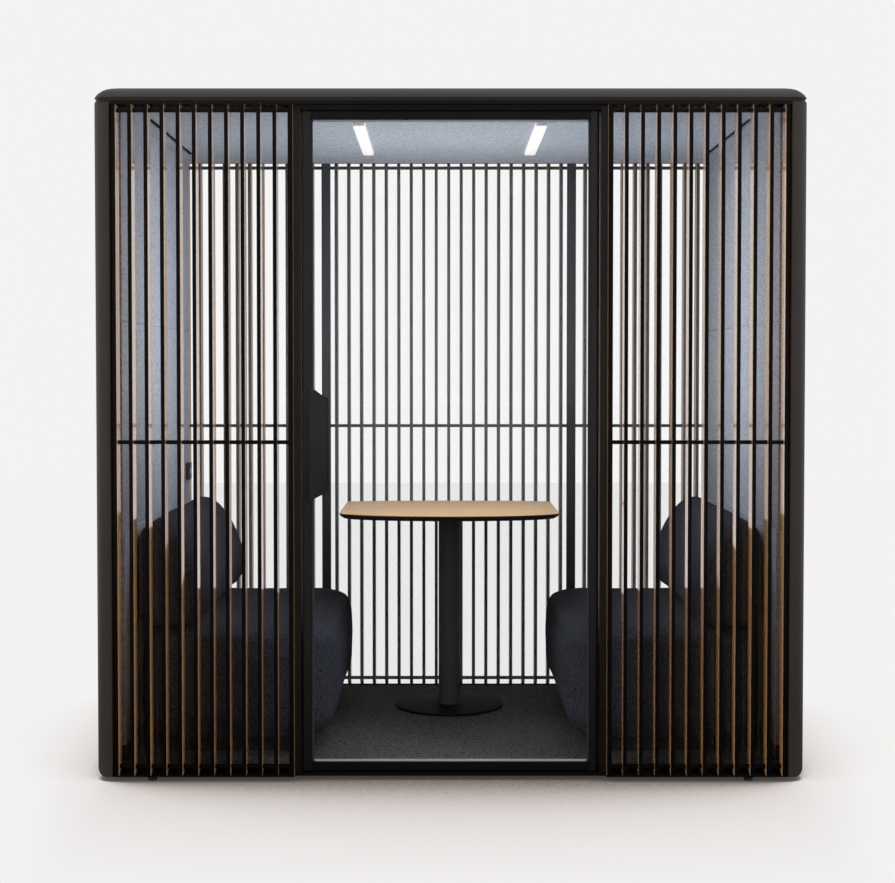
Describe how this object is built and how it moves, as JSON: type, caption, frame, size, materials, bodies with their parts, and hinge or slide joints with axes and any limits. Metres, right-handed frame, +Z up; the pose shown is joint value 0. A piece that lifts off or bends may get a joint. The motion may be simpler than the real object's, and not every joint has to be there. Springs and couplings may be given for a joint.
{
  "type": "acoustic office pod",
  "caption": "Free-standing acoustic meeting pod: rounded dark shell, glazed front with hinged glass door, slatted screens, padded benches and a pedestal table.",
  "frame": {"origin": "on the ground under the middle of the pod", "axes": "+X to the right seen from the front, +Y to the back, +Z up; the door is on the -Y side"},
  "size_m": [2.2, 1.45, 2.15],
  "materials": {
    "shell": "matt dark paint on board",
    "roof": "matt dark paint on board",
    "plywood": "plain board",
    "dark_board": "black painted board",
    "carpet": "woven carpet",
    "felt": "pressed felt",
    "foot_rubber": "matt",
    "lamp_metal": "satin",
    "lamp_opal": "opal",
    "dark_plastic": "matt",
    "button_metal": "satin",
    "black_metal": "black powder coat",
    "pivot_steel": "turned",
    "clear_glass": "clear",
    "gasket_rubber": "matt",
    "slat_wood": "oiled sides, black front edge",
    "upholstery": "woven boucle",
    "oak": "lacquered oak, black edge"
  },
  "bodies": {
    "pod": {"back_cushion_left": "upholstery", "back_cushion_right": "upholstery", "bench_base_left": "dark_board", "bench_base_right": "dark_board", "carpet": "carpet", "ceiling_panel": "felt", "control_plate": "dark_plastic", "door_jamb_left": "black_metal", "door_jamb_right": "black_metal", "door_pivot_bottom": "pivot_steel", "door_pivot_top": "pivot_steel", "fan_housing_left": "dark_plastic", "fan_housing_right": "dark_plastic", "floor_panel": "plywood", "front_glass_left": "clear_glass", "front_glass_right": "clear_glass", "front_header": "shell", "front_sill": "shell", "front_slat_screen_left": "slat_wood", "front_slat_screen_right": "slat_wood", "lamp_diffuser_left": "lamp_opal", "lamp_diffuser_right": "lamp_opal", "lamp_housing_left": "lamp_metal", "lamp_housing_right": "lamp_metal", "led_driver": "lamp_metal", "lining_lower_left": "felt", "lining_lower_right": "felt", "lining_upper_left": "felt", "lining_upper_right": "felt", "rear_glass_centre": "clear_glass", "rear_glass_left": "clear_glass", "rear_glass_right": "clear_glass", "rear_header": "shell", "rear_mullion_left": "black_metal", "rear_mullion_right": "black_metal", "rear_sill": "shell", "rear_slat_screen": "slat_wood", "roof_cap": "roof", "seat_cushion_left": "upholstery", "seat_cushion_right": "upholstery", "side_wall_left": "shell", "side_wall_right": "shell", "table_base": "black_metal", "table_column": "black_metal", "table_top": "oak"},
    "door": {"door_stile_hinge": "black_metal", "door_stile_handle": "black_metal", "door_rail_top": "black_metal", "door_rail_bottom": "black_metal", "door_glass": "clear_glass", "door_gasket": "gasket_rubber", "door_handle_outer": "black_metal", "door_handle_inner": "black_metal"},
    "button": {"control_button": "button_metal"},
    "fan_left": {"fan_rotor_left": "dark_plastic"},
    "fan_right": {"fan_rotor_right": "dark_plastic"},
    "foot_front_left": {"levelling_foot_front_left": "foot_rubber"},
    "foot_front_right": {"levelling_foot_front_right": "foot_rubber"},
    "foot_rear_left": {"levelling_foot_rear_left": "foot_rubber"},
    "foot_rear_right": {"levelling_foot_rear_right": "foot_rubber"}
  },
  "joints": [
    {"name": "door_hinge", "type": "hinge", "parent": "pod", "child": "door", "pos_m": [0.438, -0.678, 1.05], "axis": [0, 0, 1], "range_deg": [0, 95]},
    {"name": "fan_spin_left", "type": "hinge", "parent": "pod", "child": "fan_left", "pos_m": [-0.976, 0, 2.1075], "axis": [0, 0, 1], "continuous": true},
    {"name": "fan_spin_right", "type": "hinge", "parent": "pod", "child": "fan_right", "pos_m": [0.976, 0, 2.1075], "axis": [0, 0, 1], "continuous": true},
    {"name": "foot_turn_front_left", "type": "hinge", "parent": "pod", "child": "foot_front_left", "pos_m": [-0.927, -0.697, 0.01], "axis": [0, 0, 1], "continuous": true},
    {"name": "foot_turn_front_right", "type": "hinge", "parent": "pod", "child": "foot_front_right", "pos_m": [0.927, -0.697, 0.01], "axis": [0, 0, 1], "continuous": true},
    {"name": "foot_turn_rear_left", "type": "hinge", "parent": "pod", "child": "foot_rear_left", "pos_m": [-0.927, 0.697, 0.01], "axis": [0, 0, 1], "continuous": true},
    {"name": "foot_turn_rear_right", "type": "hinge", "parent": "pod", "child": "foot_rear_right", "pos_m": [0.927, 0.697, 0.01], "axis": [0, 0, 1], "continuous": true},
    {"name": "button_press", "type": "slide", "parent": "pod", "child": "button", "axis": [-1, 0, 0], "range_m": [0, 0.002], "stiffness_N_per_m": 400}
  ]
}
